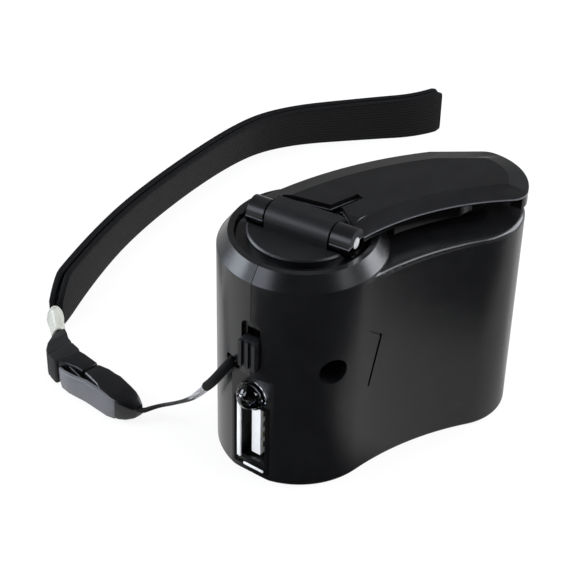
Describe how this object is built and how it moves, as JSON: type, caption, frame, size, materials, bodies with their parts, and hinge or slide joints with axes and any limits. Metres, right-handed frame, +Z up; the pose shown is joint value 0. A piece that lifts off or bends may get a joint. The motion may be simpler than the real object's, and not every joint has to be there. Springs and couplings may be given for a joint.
{
  "type": "hand crank phone charger",
  "caption": "Bean-shaped hand crank phone charger: fold-flat crank arm on a round turret, upright USB socket, lamp, slide switch and a webbing wrist strap on a small side-release buckle.",
  "frame": {"origin": "on the base plane, below the axis of the round turret that carries the crank", "axes": "+Z up out of the turret; +X from the turret along the housing towards its small end; the hollow side of the bean faces -Y"},
  "size_m": [0.1146, 0.1087, 0.0504],
  "materials": {
    "housing_black": "semi-gloss moulded",
    "screw_steel": "zinc plated",
    "turret_black": "fine satin",
    "pin_steel": "plain",
    "shaft_steel": "ground",
    "bush_white": "acetal",
    "arm_black": "semi-gloss moulded",
    "knob_black": "satin",
    "gear_white": "acetal",
    "plate_grey": "moulded",
    "motor_steel": "plated sheet",
    "magnet_grey": "ferrite",
    "cap_white": "nylon",
    "contact_gold": "plated",
    "usb_steel": "nickel plated",
    "usb_white": "moulded",
    "lamp_clear": "clear epoxy",
    "board_green": "solder mask",
    "switch_case_steel": "plated",
    "switch_black": "satin",
    "capacitor_black": "sleeved",
    "ferrite_grey": "ferrite",
    "chip_black": "moulded",
    "wire_red": "pvc",
    "wire_black": "pvc",
    "cord_black": "braided",
    "webbing_black": "woven",
    "ferrule_white": "moulded",
    "buckle_black": "moulded"
  },
  "bodies": {
    "housing": {"front_shell": "housing_black", "rear_shell": "housing_black", "housing_screw": "screw_steel", "top_bush": "bush_white", "lower_bush": "bush_white", "gear_axles": "shaft_steel", "lower_gear_plate": "plate_grey", "upper_gear_plate": "plate_grey", "plate_screws": "screw_steel", "motor_screws": "screw_steel", "motor_can": "motor_steel", "motor_magnets": "magnet_grey", "motor_end_cap": "cap_white", "motor_terminals": "contact_gold", "usb_shell": "usb_steel", "usb_tongue": "usb_white", "usb_contacts": "contact_gold", "led_lens": "lamp_clear", "led_leads": "screw_steel", "main_board": "board_green", "switch_case": "switch_case_steel", "capacitor": "capacitor_black", "inductor": "ferrite_grey", "regulator_chip": "chip_black", "rectifier_diodes": "chip_black", "motor_wire_a": "wire_red", "motor_wire_b": "wire_black", "lanyard_cord_a": "cord_black", "lanyard_cord_b": "cord_black", "lanyard_bar": "screw_steel", "wrist_strap": "webbing_black", "strap_link": "webbing_black", "strap_ferrule": "ferrule_white", "buckle_socket": "buckle_black", "buckle_plug": "buckle_black"},
    "rotor": {"rotor_disk": "turret_black", "crank_shaft": "shaft_steel", "drive_gear": "gear_white", "hinge_pin": "pin_steel"},
    "arm": {"crank_arm": "arm_black", "knob_pin": "screw_steel"},
    "knob": {"crank_knob": "knob_black"},
    "switch": {"switch_knob": "switch_black"},
    "first_gear": {"first_step_gear": "gear_white"},
    "second_gear": {"second_step_gear": "gear_white"},
    "motor_rotor": {"motor_shaft": "shaft_steel", "motor_pinion": "gear_white"}
  },
  "joints": [
    {"name": "rotor_spin", "type": "hinge", "parent": "housing", "child": "rotor", "pos_m": [0, 0, 0.0436], "axis": [0, 0, 1], "continuous": true},
    {"name": "arm_fold", "type": "hinge", "parent": "rotor", "child": "arm", "pos_m": [-0.00081, -0.00059, 0.0478], "axis": [0.5878, -0.809, 0], "range_deg": [0, 175]},
    {"name": "knob_spin", "type": "hinge", "parent": "arm", "child": "knob", "pos_m": [0.031, 0.002, 0.045], "axis": [0, 0, 1], "continuous": true},
    {"name": "switch_slide", "type": "slide", "parent": "housing", "child": "switch", "axis": [0, 0, 1], "range_m": [0, 0.0028]},
    {"name": "first_gear_spin", "type": "hinge", "parent": "housing", "child": "first_gear", "pos_m": [0.0137, 0.0012, 0], "axis": [0, 0, 1], "continuous": true},
    {"name": "second_gear_spin", "type": "hinge", "parent": "housing", "child": "second_gear", "pos_m": [0.02414, 0.00374, 0], "axis": [0, 0, 1], "continuous": true},
    {"name": "motor_spin", "type": "hinge", "parent": "housing", "child": "motor_rotor", "pos_m": [0.0315, 0, 0.02], "axis": [0, 0, 1], "continuous": true}
  ],
  "couplings": [
    {"joint": "first_gear_spin", "follows": "rotor_spin", "ratio": -4},
    {"joint": "second_gear_spin", "follows": "rotor_spin", "ratio": 11.636},
    {"joint": "motor_spin", "follows": "rotor_spin", "ratio": -31.03}
  ]
}
